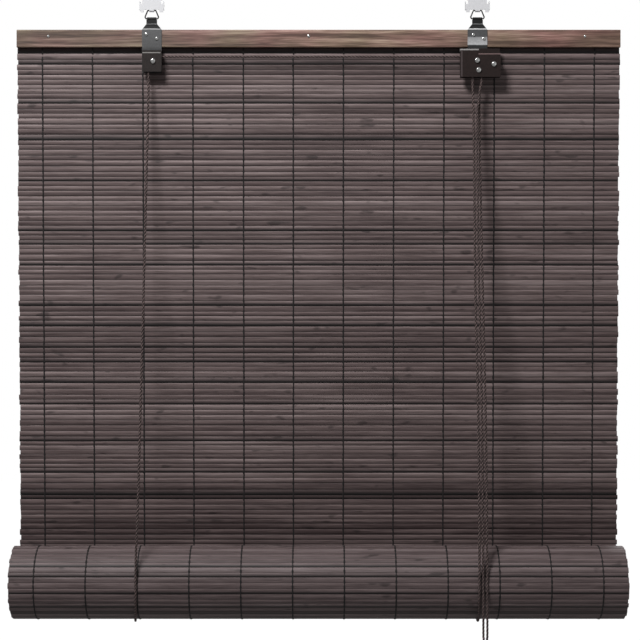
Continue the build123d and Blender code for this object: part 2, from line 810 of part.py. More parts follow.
with BuildPart() as knots:
    for cord_x in cord_back_xs:
        with Locations((cord_x, back_cord_y, staple_z + staple_wire_radius + knot_radius)):
            Sphere(knot_radius)
write_piece(knots, "cord_knots")
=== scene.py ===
import math
import random

import bpy
from mathutils import Matrix, Vector


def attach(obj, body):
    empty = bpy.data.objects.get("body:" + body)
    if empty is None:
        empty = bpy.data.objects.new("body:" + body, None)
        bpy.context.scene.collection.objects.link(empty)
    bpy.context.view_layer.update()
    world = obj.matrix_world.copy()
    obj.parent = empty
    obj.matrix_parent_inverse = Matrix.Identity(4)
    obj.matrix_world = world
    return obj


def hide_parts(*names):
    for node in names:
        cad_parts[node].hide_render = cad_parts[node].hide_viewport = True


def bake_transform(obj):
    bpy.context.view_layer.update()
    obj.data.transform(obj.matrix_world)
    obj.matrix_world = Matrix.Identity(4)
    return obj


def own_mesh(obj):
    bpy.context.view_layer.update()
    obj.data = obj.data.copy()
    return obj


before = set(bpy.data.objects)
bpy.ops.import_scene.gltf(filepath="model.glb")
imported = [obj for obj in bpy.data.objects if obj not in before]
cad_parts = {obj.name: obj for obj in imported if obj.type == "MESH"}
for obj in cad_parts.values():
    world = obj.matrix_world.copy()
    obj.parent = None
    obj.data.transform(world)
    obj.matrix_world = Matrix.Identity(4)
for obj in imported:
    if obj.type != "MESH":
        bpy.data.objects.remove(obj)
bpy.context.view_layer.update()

random.seed(11)

# Places and sizes of the blind, in metres, as the frame has them
blind_width = 1.0
rail_middle = 0.0065
slat_left = rail_middle - blind_width / 2
slat_pitch = 0.00844
slat_thickness = 0.0014
rail_top = -0.054
curtain_top = -0.0923
roll_z = -0.964
curtain_y = -0.002
lean = 0.030
roll_radius = 0.061
turn_pitch = 0.0055
half_turns = 8
roll_y = curtain_y + lean + slat_thickness / 2 - roll_radius
bight_radius = 0.06365
cord_radius = 0.00175
thread_count = 12
thread_margin = 0.0415
hanger_left = -0.2695
hanger_right = 0.2695
rear_wheel_y = -0.01665
front_wheel_y = -0.02255
pulley_radius = 0.0075
cord_low_z = rail_top - 0.085
staple_z = rail_top - 0.006
left_axle = (hanger_left + 0.0026, rail_top - 0.0533)
lock_axle = (hanger_right - 0.0016, rail_top - 0.0531)
left_fall_x = left_axle[0] - pulley_radius
right_fall_x = lock_axle[0] - pulley_radius
tail_top_x = lock_axle[0] + pulley_radius
bight_front_y = roll_y - bight_radius
bight_back_y = roll_y + bight_radius

# Photo's frame: its scale on the headrail's front face, its middle, and the camera's distance
photo_pixels = 640
metres_per_pixel = 0.0016556
camera_distance = 2.75
camera_x = 0.0089
camera_z = -0.5348
rail_front_y = -0.0114


# Node helpers


def new_material(name):
    material = bpy.data.materials.new(name)
    material.use_nodes = True
    nodes = material.node_tree.nodes
    return material, nodes, material.node_tree.links, nodes["Principled BSDF"]


def math_node(nodes, links, operation, first, second):
    node = nodes.new("ShaderNodeMath")
    node.operation = operation
    for socket, value in zip(node.inputs, (first, second)):
        if isinstance(value, (int, float)):
            socket.default_value = value
        else:
            links.new(value, socket)
    return node.outputs[0]


def noise_node(nodes, links, vector, scale, detail=4.0):
    node = nodes.new("ShaderNodeTexNoise")
    node.inputs["Scale"].default_value = scale
    node.inputs["Detail"].default_value = detail
    links.new(vector, node.inputs["Vector"])
    return node.outputs["Fac"]


def ramp_node(nodes, links, value, stops):
    node = nodes.new("ShaderNodeValToRGB")
    ramp = node.color_ramp
    while len(ramp.elements) < len(stops):
        ramp.elements.new(0.5)
    for element, (place, color) in zip(ramp.elements, stops):
        element.position = place
        element.color = (*color, 1.0)
    links.new(value, node.inputs[0])
    return node.outputs[0]


def bump_node(nodes, links, shader, height, strength, distance):
    node = nodes.new("ShaderNodeBump")
    node.inputs["Strength"].default_value = strength
    node.inputs["Distance"].default_value = distance
    links.new(height, node.inputs["Height"])
    links.new(node.outputs[0], shader.inputs["Normal"])


def grey(value):
    return (value, value, value)


def object_coords(nodes, links, scale=(1.0, 1.0, 1.0)):
    coords = nodes.new("ShaderNodeTexCoord")
    mapping = nodes.new("ShaderNodeMapping")
    mapping.inputs["Scale"].default_value = scale
    links.new(coords.outputs["Object"], mapping.inputs["Vector"])
    return mapping.outputs[0]


def split_vector(nodes, links, vector):
    split = nodes.new("ShaderNodeSeparateXYZ")
    links.new(vector, split.inputs[0])
    return split.outputs


def attribute_value(nodes, name):
    node = nodes.new("ShaderNodeAttribute")
    node.attribute_name = name
    return node.outputs["Fac"]


def multiply_color(nodes, links, color, factor, strength=1.0):
    """The colour multiplied by a factor colour, as far as strength, a number or a socket, says."""
    mix = nodes.new("ShaderNodeMixRGB")
    mix.blend_type = "MULTIPLY"
    if isinstance(strength, float):
        mix.inputs[0].default_value = strength
    else:
        links.new(strength, mix.inputs[0])
    links.new(color, mix.inputs[1])
    links.new(factor, mix.inputs[2])
    return mix.outputs[0]


def weighted_sum(nodes, links, first, first_weight, second, second_weight):
    first = math_node(nodes, links, "MULTIPLY", first, first_weight)
    return math_node(nodes, links, "ADD", first, math_node(nodes, links, "MULTIPLY", second, second_weight))


# Materials


def slat_material(name, dark, middle, light):
    """Stained bamboo: fibres along the slat, a tone of its own on each slat and node marks, with painted
    shade along each slat's lower edge and a painted highlight towards its top.

    The mesh says for each slat its tone, lowered on some rows as painted shade, how deep its painted lower
    shadow is, and how strong its painted edge shade and top highlight are.
    """
    material, nodes, links, shader = new_material(name)
    coords = nodes.new("ShaderNodeTexCoord")
    along, across, _ = split_vector(nodes, links, coords.outputs["UV"])
    tone = attribute_value(nodes, "tone")
    deep = attribute_value(nodes, "deep")
    line = attribute_value(nodes, "line")

    def fibre(along_scale, across_scale, shift, detail):
        combine = nodes.new("ShaderNodeCombineXYZ")
        scales = (along_scale, across_scale, shift)
        for socket, value, scale in zip(combine.inputs, (along, across, tone), scales):
            links.new(math_node(nodes, links, "MULTIPLY", value, scale), socket)
        return noise_node(nodes, links, combine.outputs[0], 1.0, detail)

    broad = fibre(6.0, 1.2, 57.0, 3.0)
    fine = fibre(34.0, 9.0, 91.0, 5.0)
    marks = fibre(30.0, 0.8, 173.0, 1.5)
    level = math_node(nodes, links, "MULTIPLY", math_node(nodes, links, "SUBTRACT", broad, 0.5), 0.7)
    level = math_node(nodes, links, "ADD", level, weighted_sum(nodes, links, fine, 0.55, tone, 0.3))
    level = math_node(nodes, links, "ADD", level, 0.08)
    color = ramp_node(nodes, links, level, [(0.18, dark), (0.5, middle), (0.85, light)])
    # Painted highlight towards each slat's top and painted shade along its lower edge, as strong as the line
    # value
    lit_top_shaded_edge_stops = [
        (0.06, grey(0.2)), (0.28, grey(0.62)), (0.52, grey(1.0)), (0.86, grey(1.35)), (0.97, grey(1.0)),
    ]
    lit_top_shaded_edge = ramp_node(nodes, links, across, lit_top_shaded_edge_stops)
    # Painted shadow over the lower part of deep rows
    painted_lower_shadow = ramp_node(nodes, links, across, [(0.22, grey(0.1)), (0.62, grey(0.9))])
    crack = ramp_node(nodes, links, across, [(0.4, grey(1.0)), (0.47, grey(0.62)), (0.54, grey(1.0))])
    spots = ramp_node(nodes, links, marks, [(0.66, grey(1.0)), (0.74, grey(0.5))])
    for factor, strength in ((lit_top_shaded_edge, line), (spots, 1.0), (crack, tone), (painted_lower_shadow, deep)):
        color = multiply_color(nodes, links, color, factor, strength)
    links.new(color, shader.inputs["Base Color"])
    shader.inputs["Roughness"].default_value = 0.55
    shader.inputs["Specular IOR Level"].default_value = 0.3
    bump_node(nodes, links, shader, fine, 0.35, 0.0004)
    return material


def rail_material():
    """Streaked stained wood: brown, pink and olive streaks along the board, darker towards its left."""
    material, nodes, links, shader = new_material("headrail_wood")
    streak = noise_node(nodes, links, object_coords(nodes, links, (5.0, 60.0, 150.0)), 1.0, 5.0)
    patch = noise_node(nodes, links, object_coords(nodes, links, (9.0, 8.0, 26.0)), 1.0, 2.0)
    fibre = noise_node(nodes, links, object_coords(nodes, links, (30.0, 200.0, 900.0)), 1.0, 4.0)
    brown_stops = [(0.38, (0.085, 0.048, 0.036)), (0.5, (0.245, 0.16, 0.13)), (0.61, (0.45, 0.34, 0.29))]
    tint_stops = [(0.35, (0.86, 0.88, 0.72)), (0.5, (1.0, 0.92, 0.86)), (0.65, (1.06, 0.84, 0.86))]
    brown = ramp_node(nodes, links, weighted_sum(nodes, links, streak, 0.62, fibre, 0.38), brown_stops)
    wood = multiply_color(nodes, links, brown, ramp_node(nodes, links, patch, tint_stops))
    side = split_vector(nodes, links, object_coords(nodes, links))[0]
    share = math_node(nodes, links, "ADD", side, blind_width / 2)
    fade = ramp_node(nodes, links, share, [(0.0, grey(0.62)), (0.25, grey(0.7)), (0.5, grey(1.05))])
    links.new(multiply_color(nodes, links, wood, fade), shader.inputs["Base Color"])
    shader.inputs["Roughness"].default_value = 0.55
    bump_node(nodes, links, shader, fibre, 0.3, 0.0004)
    return material


def metal_material(name, color, metallic, roughness, change=0.25, bump=0.08):
    """Sheet or turned metal with faint mottling in its colour and a fine surface bump."""
    material, nodes, links, shader = new_material(name)
    mottle = noise_node(nodes, links, object_coords(nodes, links), 400.0)
    low = tuple(max(0.0, part * (1 - change)) for part in color)
    high = tuple(min(1.0, part * (1 + change)) for part in color)
    links.new(ramp_node(nodes, links, mottle, [(0.35, low), (0.65, high)]), shader.inputs["Base Color"])
    shader.inputs["Metallic"].default_value = metallic
    shader.inputs["Roughness"].default_value = roughness
    bump_node(nodes, links, shader, mottle, bump, 0.0002)
    return material


# The hangers' greys, painted light and shade: the height where their ramp starts, the ramp's share per metre
# up, and how a noise shifts it
ramp_start_z = -0.09
ramp_per_metre = 18.18
cloud_shift = 0.0012
cloud_offset = 0.0004


def painted_light_hanger_material(name, painted_light_bands):
    """Blackened steel with painted highlights and reflection that follow its bends: the bands hold (height,
    grey) pairs from the foot up.
    """
    material, nodes, links, shader = new_material(name)
    height = split_vector(nodes, links, object_coords(nodes, links))[2]
    cloud = noise_node(nodes, links, object_coords(nodes, links), 160.0, 3.0)
    grain = noise_node(nodes, links, object_coords(nodes, links), 500.0)
    height = math_node(nodes, links, "ADD", height, math_node(nodes, links, "MULTIPLY", cloud, cloud_shift))
    height = math_node(nodes, links, "ADD", height, -ramp_start_z - cloud_offset)
    share = math_node(nodes, links, "MULTIPLY", height, ramp_per_metre)
    stops = [((z - ramp_start_z) * ramp_per_metre, (shade, shade, shade * 1.02)) for z, shade in painted_light_bands]
    base = ramp_node(nodes, links, share, stops)
    mottle = ramp_node(nodes, links, grain, [(0.3, grey(0.85)), (0.7, grey(1.15))])
    links.new(multiply_color(nodes, links, base, mottle), shader.inputs["Base Color"])
    shader.inputs["Metallic"].default_value = 0.1
    shader.inputs["Roughness"].default_value = 0.45
    shader.inputs["Specular IOR Level"].default_value = 0.3
    bump_node(nodes, links, shader, grain, 0.08, 0.0002)
    return material


def housing_material(name, color, marks):
    """Brown enamel with painted highlights on its folds: each mark is (left, right, bottom, top, color)."""
    material, nodes, links, shader = new_material(name)
    x, _, z = split_vector(nodes, links, object_coords(nodes, links))
    grain = noise_node(nodes, links, object_coords(nodes, links), 500.0)
    low = tuple(part * 0.75 for part in color)
    high = tuple(part * 1.25 for part in color)
    paint = ramp_node(nodes, links, grain, [(0.35, low), (0.65, high)])
    for left, right, bottom, top, highlight_color in marks:
        inside = math_node(nodes, links, "GREATER_THAN", x, left)
        limits = (("LESS_THAN", x, right), ("GREATER_THAN", z, bottom), ("LESS_THAN", z, top))
        for operation, place, limit in limits:
            test = math_node(nodes, links, operation, place, limit)
            inside = math_node(nodes, links, "MULTIPLY", inside, test)
        mix = nodes.new("ShaderNodeMixRGB")
        mix.inputs[2].default_value = (*highlight_color, 1.0)
        links.new(inside, mix.inputs[0])
        links.new(paint, mix.inputs[1])
        paint = mix.outputs[0]
    links.new(paint, shader.inputs["Base Color"])
    shader.inputs["Roughness"].default_value = 0.6
    shader.inputs["Specular IOR Level"].default_value = 0.2
    bump_node(nodes, links, shader, grain, 0.08, 0.0002)
    return material


def cord_material(name, dark, light):
    """Twisted cord: dark, with light flecks in its colour, kept on the strands' crests as painted highlight,
    the dips between strands left dark as painted shade.
    """
    material, nodes, links, shader = new_material(name)
    fleck = noise_node(nodes, links, object_coords(nodes, links, (1.0, 1.0, 0.4)), 900.0, 3.0)
    # Lighter on the crests and dark in the dips: painted highlight and shade on top of the flecks
    level = weighted_sum(nodes, links, attribute_value(nodes, "lobe"), 0.6, fleck, 0.5)
    links.new(ramp_node(nodes, links, level, [(0.62, dark), (0.84, light)]), shader.inputs["Base Color"])
    shader.inputs["Roughness"].default_value = 0.8
    bump_node(nodes, links, shader, fleck, 0.4, 0.0003)
    return material


curtain_wood = slat_material("curtain_wood", (0.045, 0.029, 0.029), (0.13, 0.094, 0.092),
                             (0.27, 0.212, 0.208))
roll_wood = slat_material("roll_wood", (0.05, 0.034, 0.034), (0.135, 0.1, 0.1), (0.25, 0.2, 0.2))
rail_wood = rail_material()
white_paint = metal_material("white_paint", (0.7, 0.7, 0.72), 0.0, 0.42, change=0.03, bump=0.05)
black_wire = metal_material("black_wire", (0.02, 0.02, 0.02), 0.3, 0.4)

# Greys of the hangers at heights from the foot up: plate, darker at its foot and on the right one with a
# painted reflection, painted highlight on the bend at the rail's top, and neck, dark with a painted
# highlight line
neck_dark_and_highlight_bands = [
    (-0.0519, 0.02), (-0.0458, 0.02), (-0.0454, 0.22), (-0.0446, 0.22), (-0.0442, 0.008), (-0.036, 0.008),
]
left_plate_and_highlight_bands = [
    (-0.09, 0.03), (-0.082, 0.085), (-0.056, 0.105), (-0.0541, 0.1), (-0.0537, 0.4), (-0.0523, 0.4),
]
right_plate_reflection_and_highlight_bands = [
    (-0.09, 0.02), (-0.08, 0.03), (-0.0787, 0.5), (-0.07, 0.38), (-0.0665, 0.3), (-0.0655, 0.085),
    (-0.0541, 0.08), (-0.0537, 0.75), (-0.0523, 0.75),
]
left_hanger_steel = painted_light_hanger_material("left_hanger_steel", left_plate_and_highlight_bands + neck_dark_and_highlight_bands)
right_hanger_steel = painted_light_hanger_material("right_hanger_steel", right_plate_reflection_and_highlight_bands + neck_dark_and_highlight_bands)

# Painted highlights on the folds: the left housing's top line, the lock's two top lines at its step, and the
# lock's left edge
fold_z = rail_top - 0.0387
lock_top_z = rail_top - 0.0343
lock_edge_x = hanger_right - 0.0287
step_x = hanger_right + 0.0007
step_z = lock_top_z - 0.0073
left_fold_highlights = [(hanger_left - 0.0145, hanger_left + 0.0152, fold_z - 0.0017, fold_z, (0.24, 0.23, 0.22))]
lock_fold_highlights = [
    (hanger_right - 0.0345, step_x, lock_top_z - 0.0023, lock_top_z + 0.0021, (0.32, 0.305, 0.3)),
    (step_x, hanger_right + 0.0375, step_z - 0.002, step_z + 0.0002, (0.16, 0.108, 0.105)),
    (lock_edge_x, lock_edge_x + 0.0028, lock_top_z - 0.0457, lock_top_z - 0.0025, (0.06, 0.046, 0.046)),
]
left_enamel = housing_material("left_housing_enamel", (0.02, 0.015, 0.014), left_fold_highlights)
lock_enamel = housing_material("lock_enamel", (0.016, 0.009, 0.008), lock_fold_highlights)

bright_metal = metal_material("bright_metal", (0.72, 0.72, 0.71), 1.0, 0.2, change=0.05, bump=0.03)
lock_steel = metal_material("lock_steel", (0.42, 0.41, 0.4), 1.0, 0.35)
wheel_plastic = metal_material("wheel_plastic", (0.05, 0.045, 0.04), 0.0, 0.5)
cord_brown = cord_material("cord_brown", (0.012, 0.006, 0.006), (0.23, 0.16, 0.15))
thread_black = cord_material("thread_black", (0.003, 0.002, 0.002), (0.012, 0.007, 0.008))

node_materials = {
    "left_hook_bracket": white_paint, "right_hook_bracket": white_paint,
    "left_wire_ring": black_wire, "right_wire_ring": black_wire,
    "headrail": rail_wood, "headrail_nails": bright_metal, "hanger_nails": bright_metal,
    "left_hanger": left_hanger_steel, "right_hanger": right_hanger_steel,
    "left_pulley_housing": left_enamel, "cord_lock_housing": lock_enamel,
    "left_pulley_axle": bright_metal, "lock_pulley_axle": bright_metal,
    "lock_roller_axle": bright_metal, "lock_cam_axle": bright_metal,
    "cord_staples": bright_metal, "cord_knots": cord_brown, "coil_tie": cord_brown,
    "left_pulley": wheel_plastic, "cross_cord_pulley": wheel_plastic, "right_cord_pulley": wheel_plastic,
    "lock_roller": lock_steel, "lock_cam": lock_steel, "bottom_batten": rail_wood,
}
for node_name, node_material in node_materials.items():
    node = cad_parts[node_name]
    if not node.material_slots:
        node.data.materials.append(node_material)
    for material_slot in node.material_slots:
        material_slot.material = node_material


# Mesh helpers


def make_mesh(name, verts, faces, material, smooth=True):
    mesh = bpy.data.meshes.new(name)
    mesh.from_pydata(verts, [], faces)
    mesh.update()
    mesh.materials.append(material)
    if smooth:
        mesh.shade_smooth()
    piece = bpy.data.objects.new(name, mesh)
    bpy.context.scene.collection.objects.link(piece)
    return piece


class SlatMesh:
    """Gathers slats into one mesh, with each slat's tone, deep and line values and its UV."""

    # Outline of a slat: across its height from -1 to 1 and through its thickness from -1, its front, to 1
    front = [(-1.0, 0.45), (-0.93, -0.1), (-0.75, -0.55), (-0.4, -0.9), (0.0, -1.0)]
    mirrored = [(-across, through) for across, through in reversed(front[:-1])]
    profile = front + mirrored + [(1.0, 1.0), (-1.0, 1.0)]

    def __init__(self):
        self.verts, self.faces, self.uvs = [], [], []
        self.values = {"tone": [], "deep": [], "line": []}

    def add(self, center, up, out, height, tilt, steps, wave, ends, tone, deep, line=1.0):
        """center is (y, z); up and out are unit vectors in the YZ plane, out pointing to the slat's front.

        wave is how far the slat wanders up and down along its length, and ends is how far short it falls
        at its left and right.
        """
        base = len(self.verts)
        count = len(self.profile)
        left = slat_left + ends[0]
        right = slat_left + blind_width - ends[1]
        turn = Matrix.Rotation(tilt, 2)
        phase = random.uniform(0, 6.28)
        for step in range(steps + 1):
            share = step / steps
            x = left + (right - left) * share
            swing = wave * math.sin(phase + share * 9.0) + wave * 0.6 * math.sin(phase * 2 + share * 23.0)
            swell = 1 + 0.03 * math.sin(phase * 3 + share * 14.0)
            for across, through in self.profile:
                local = turn @ Vector((across * height / 2 * swell, -through * slat_thickness / 2))
                rise = local.x + swing
                y = center[0] + up[0] * rise + out[0] * local.y
                z = center[1] + up[1] * rise + out[1] * local.y
                self.verts.append((x, y, z))
                self.uvs.append((x + tone * 3.0, (across + 1) / 2))
                for name, value in (("tone", tone), ("deep", deep), ("line", line)):
                    self.values[name].append(value)
        for step in range(steps):
            for k in range(count):
                a = base + step * count + k
                b = base + step * count + (k + 1) % count
                self.faces.append((a, b, b + count, a + count))
        self.faces.append(tuple(base + k for k in reversed(range(count))))
        self.faces.append(tuple(base + steps * count + k for k in range(count)))

    def build(self, name, material):
        piece = make_mesh(name, self.verts, self.faces, material, smooth=False)
        mesh = piece.data
        for attribute, values in self.values.items():
            mesh.attributes.new(attribute, "FLOAT", "POINT").data.foreach_set("value", values)
        layer = mesh.uv_layers.new(name="slats")
        for loop in mesh.loops:
            layer.data[loop.index].uv = self.uvs[loop.vertex_index]
        return piece


def spline_points(points, steps):
    """Points read from the smooth NURBS spline that has the route's points as its control points."""
    curve = bpy.data.curves.new("route", "CURVE")
    curve.dimensions = "3D"
    spline = curve.splines.new("NURBS")
    spline.points.add(len(points) - 1)
    for place, point in zip(spline.points, points):
        place.co = (*point, 1.0)
    spline.order_u = 3
    spline.use_endpoint_u = True
    spline.resolution_u = steps
    holder = bpy.data.objects.new("route", curve)
    bpy.context.scene.collection.objects.link(holder)
    bpy.context.view_layer.update()
    mesh = bpy.data.meshes.new_from_object(holder)
    line = [vert.co.copy() for vert in mesh.vertices]
    bpy.data.objects.remove(holder)
    bpy.data.curves.remove(curve)
    bpy.data.meshes.remove(mesh)
    return line


def resample(line, gap):
    """The line with its points spaced evenly, about gap apart."""
    lengths = [0.0]
    for before, after in zip(line, line[1:]):
        lengths.append(lengths[-1] + (after - before).length)
    count = max(2, round(lengths[-1] / gap))
    even, k = [], 0
    for step in range(count + 1):
        target = lengths[-1] * step / count
        while k < len(line) - 2 and lengths[k + 1] < target:
            k += 1
        span = lengths[k + 1] - lengths[k]
        even.append(line[k].lerp(line[k + 1], (target - lengths[k]) / span if span > 0 else 0.0))
    return even


def twisted_mesh(name, line, radius, material, lobes=3, crest_gap=0.0062, sides=12, depth=0.13, wide=1.0,
                 knot=1.0):
    """A rope of twisted strands along a line of even points, as one lobed tube.

    Its crests reach the radius and, along one side, stand crest_gap apart. The dips between them are twice
    depth of the radius deep. wide stretches the rope along X, and knot stretches every second ring more.
    """
    verts, faces, levels = [], [], []
    tangent = (line[1] - line[0]).normalized()
    side = tangent.orthogonal().normalized()
    travelled = 0.0
    for k, point in enumerate(line):
        here = (line[min(k + 1, len(line) - 1)] - line[max(k - 1, 0)]).normalized()
        side = (side - here * side.dot(here)).normalized()
        other = here.cross(side)
        if k:
            travelled += (point - line[k - 1]).length
        twist = travelled / crest_gap * 2 * math.pi
        for s in range(sides):
            angle = 2 * math.pi * s / sides
            lobe = math.cos(lobes * angle - twist)
            reach = radius * (1 - depth + depth * lobe)
            offset = side * reach * math.cos(angle) + other * reach * math.sin(angle)
            stretch = wide * knot if k % 2 else wide
            verts.append(point + Vector((offset.x * stretch, offset.y, offset.z)))
            levels.append((lobe + 1) / 2)
    for k in range(len(line) - 1):
        for s in range(sides):
            a = k * sides + s
            b = k * sides + (s + 1) % sides
            faces.append((a, b, b + sides, a + sides))
    faces.append(tuple(reversed(range(sides))))
    faces.append(tuple((len(line) - 1) * sides + s for s in range(sides)))
    piece = make_mesh(name, verts, faces, material)
    lobe_values = piece.data.attributes.new("lobe", "FLOAT", "POINT")
    lobe_values.data.foreach_set("value", levels)
    return piece


# Curtain of slats


def curtain_middle(z):
    return curtain_y + lean * max(0.0, curtain_top - z) / (curtain_top - roll_z)


# Heights in the photo, in pixels: rows whose lower edge tilts in and shows as a deep dark line, drawn with
# painted shade, bands painted dark as shadow, and where the curtain's foot starts to be painted darker as
# shade
rail_top_pixel = 29.6
deep_row_pixels = (98, 136, 180, 227, 241, 261, 302, 321, 346, 362, 381, 404, 441, 470, 497)
shadow_band_pixels = ((491, 501), (57, 63))
shaded_foot_pixel = 488
painted_foot_shade = 0.4
painted_band_shadow = 1.0
painted_shadow_tone = -1.0

# How the rows vary: their heights, tilts in degrees, tones, with deep rows darker as painted shade,
# strengths of the painted edge shade and highlight, and ends
row_spread = 0.18
row_tilt = 3.0
deep_tilt = 6.0
deep_shadow_tone = 0.45
faintest_edge_shade = 0.45
row_overlap = 0.0007
row_wave = 0.00004
row_steps = 30
end_spread = 0.0012
curtain_clearance = 0.0002


def pixel_height(pixel):
    return rail_top - (pixel - rail_top_pixel) * metres_per_pixel


def curtain_rows():
    """Middles and heights of the slats from the roll up to the headrail, a seeded uneven pitch."""
    height = curtain_top - roll_z
    weights = [random.uniform(1 - row_spread, 1 + row_spread) for _ in range(int(height / slat_pitch))]
    scale = (height - 2 * curtain_clearance) / sum(weights)
    rows = []
    z = roll_z + curtain_clearance
    for weight in weights:
        rows.append((z + weight * scale / 2, weight * scale))
        z += weight * scale
    return rows


rows = curtain_rows()
deep_heights = [pixel_height(pixel) for pixel in deep_row_pixels]
curtain = SlatMesh()
lean_angle = math.atan(lean / (curtain_top - roll_z))
row_up = (-math.sin(lean_angle), math.cos(lean_angle))
row_out = (-math.cos(lean_angle), -math.sin(lean_angle))
for row_z, row_height in rows:
    deep = any(abs(row_z - height) < row_height / 2 for height in deep_heights)
    tilt = math.radians(random.uniform(-row_tilt, row_tilt) - (deep_tilt if deep else 0.0))
    # Deep rows take a lower tone as painted shade
    shade = random.random() * (deep_shadow_tone if deep else 1.0)
    # Painted shade: the curtain's foot darker, and the bands under the headrail and above the roll darkest
    painted_shade = painted_foot_shade if row_z < pixel_height(shaded_foot_pixel) else 0.0
    if any(pixel_height(bottom) < row_z < pixel_height(top) for top, bottom in shadow_band_pixels):
        painted_shade = painted_band_shadow
        deep = True
    ends = (random.uniform(-end_spread, end_spread), random.uniform(-end_spread, end_spread))
    curtain.add((curtain_middle(row_z), row_z), row_up, row_out, row_height + row_overlap, tilt, row_steps,
                row_wave, ends, shade - painted_shade, 1.0 if deep else 0.0, random.uniform(faintest_edge_shade, 1.0))
curtain_piece = curtain.build("curtain_of_slats", curtain_wood)
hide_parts("curtain_slats")
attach(curtain_piece, "headrail")
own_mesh(curtain_piece)

# Rows held behind the headrail and just below it: their drops below its top, and their heights; they take
# the darkest tone and the deep lower shadow as the headrail's painted shadow
held_rows = ((0.0155, 0.0095), (0.0239, 0.0096), (0.03345, 0.0099))
held_steps = 20
held_ends = (0.0, 0.0005)
held = SlatMesh()
for drop, row_height in held_rows:
    held.add((curtain_y, rail_top - drop), (0, 1), (-1, 0), row_height, 0.0, held_steps, 0.0, held_ends,
             painted_shadow_tone, 1.0)
held_piece = held.build("slats_behind_headrail", curtain_wood)
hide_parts("held_slats")
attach(held_piece, "headrail")


# Roll of slats: the spiral's half circles, walked by arc length


def spiral_place(length):
    """(y, z) and the outward unit vector on the spiral's outer face, that far from its outer end."""
    for half in range(half_turns):
        radius = roll_radius - half * turn_pitch / 2
        center_y = roll_y - (half % 2) * turn_pitch / 2
        if length <= math.pi * radius or half == half_turns - 1:
            break
        length -= math.pi * radius
    angle = math.pi * (half % 2) - length / radius
    outward = (math.cos(angle), math.sin(angle))
    return (center_y + radius * outward[0], roll_z + radius * outward[1]), outward


# Lengths from the spiral's outer end: deep dark lines on the roll, painted as shade, the last one the
# darkest, and where its underside starts and ends, painted darker as shade
deep_lengths = (0.2307, 0.2103, 0.1879, 0.1586, 0.1437)
underside_start = 0.09
underside_end = 0.165
painted_underside_shade = 0.5

# How the roll's slats vary: their heights as shares of the pitch, tilts in degrees, strengths of the painted
# edge shade and highlight, and ends
roll_pitch_shares = (0.85, 1.2)
roll_tilt = 2.0
roll_edge_shades = (0.25, 0.6)
roll_overlap = 0.0001
roll_wave = 0.00008
outer_ragged = 0.0016
inner_ragged = 0.004
outer_steps = 26
inner_steps = 6

total_spiral = sum(math.pi * (roll_radius - half * turn_pitch / 2) for half in range(half_turns))
roll = SlatMesh()
walked = 0.0
while walked < total_spiral - slat_pitch:
    row_height = slat_pitch * random.uniform(*roll_pitch_shares)
    face, outward = spiral_place(walked + row_height / 2)
    outer_turn = walked < 2 * math.pi * roll_radius
    middle = (face[0] - outward[0] * slat_thickness / 2, face[1] - outward[1] * slat_thickness / 2)
    upward = (outward[1], -outward[0])
    ragged = outer_ragged if outer_turn else inner_ragged
    deep = any(walked <= length < walked + row_height for length in deep_lengths)
    # Random tone, lowered as painted shade on the underside; the last deep line takes the darkest painted
    # shadow tone
    tone = random.random() - (painted_underside_shade if underside_start < walked < underside_end else 0.0)
    if walked <= deep_lengths[-1] < walked + row_height:
        tone = painted_shadow_tone
    tilt = math.radians(random.uniform(-roll_tilt, roll_tilt))
    ends = (random.uniform(0, ragged), random.uniform(0, ragged))
    steps = outer_steps if outer_turn else inner_steps
    roll.add(middle, upward, outward, row_height + roll_overlap, tilt, steps, roll_wave, ends, tone,
             1.0 if deep else 0.0, random.uniform(*roll_edge_shades))
    walked += row_height
roll_piece = roll.build("rolled_slats", roll_wood)
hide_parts("blind_roll")
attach(roll_piece, "roll")

# Warp threads: over each slat's face and in between slats, in front and behind
thread_radius = 0.0005
thread_lift = 0.00055
thread_sink = 0.0001
thread_sideways = 0.0003
thread_wander = 0.0004
thread_drift = 0.0002
roll_thread_lift = 0.00045
roll_thread_start = 0.002
held_thread_top = rail_top - 0.012
held_thread_step = 0.0025
held_thread_points = 12
thread_span = blind_width - 2 * thread_margin
thread_xs = [slat_left + thread_margin + k * thread_span / (thread_count - 1) for k in range(thread_count)]


def join_pieces(name, pieces):
    bpy.ops.object.select_all(action="DESELECT")
    for piece in pieces:
        piece.select_set(True)
    bpy.context.view_layer.objects.active = pieces[0]
    bpy.ops.object.join()
    pieces[0].name = name
    return pieces[0]


def thread_mesh(path):
    return twisted_mesh("thread", path, thread_radius, thread_black, lobes=2, crest_gap=0.006, sides=8,
                        depth=0.1, wide=2.0, knot=1.6)


strands = []
for thread_x in thread_xs:
    for side in (-1, 1):
        path = []
        x = thread_x + random.uniform(-thread_wander, thread_wander)
        for row_z, row_height in reversed(rows):
            over = side * (slat_thickness / 2 + thread_lift)
            drift = random.uniform(-thread_drift, thread_drift)
            path.append(Vector((x + drift, curtain_middle(row_z) + over, row_z)))
            gap_y = side * (slat_thickness / 2 - thread_sink)
            gap_z = row_z - row_height / 2
            path.append(Vector((x + drift + side * thread_sideways, curtain_middle(gap_z) + gap_y, gap_z)))
        strands.append(thread_mesh(path))
threads_piece = join_pieces("curtain_threads", strands)
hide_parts("warp_threads")
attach(threads_piece, "headrail")
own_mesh(threads_piece)

strands = []
for thread_x in thread_xs:
    for side in (-1, 1):
        thread_y = curtain_y + side * (slat_thickness / 2 + thread_lift)
        path = [Vector((thread_x, thread_y, held_thread_top - k * held_thread_step))
                for k in range(held_thread_points)]
        strands.append(thread_mesh(path))
top_threads = join_pieces("headrail_threads", strands)
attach(top_threads, "headrail")

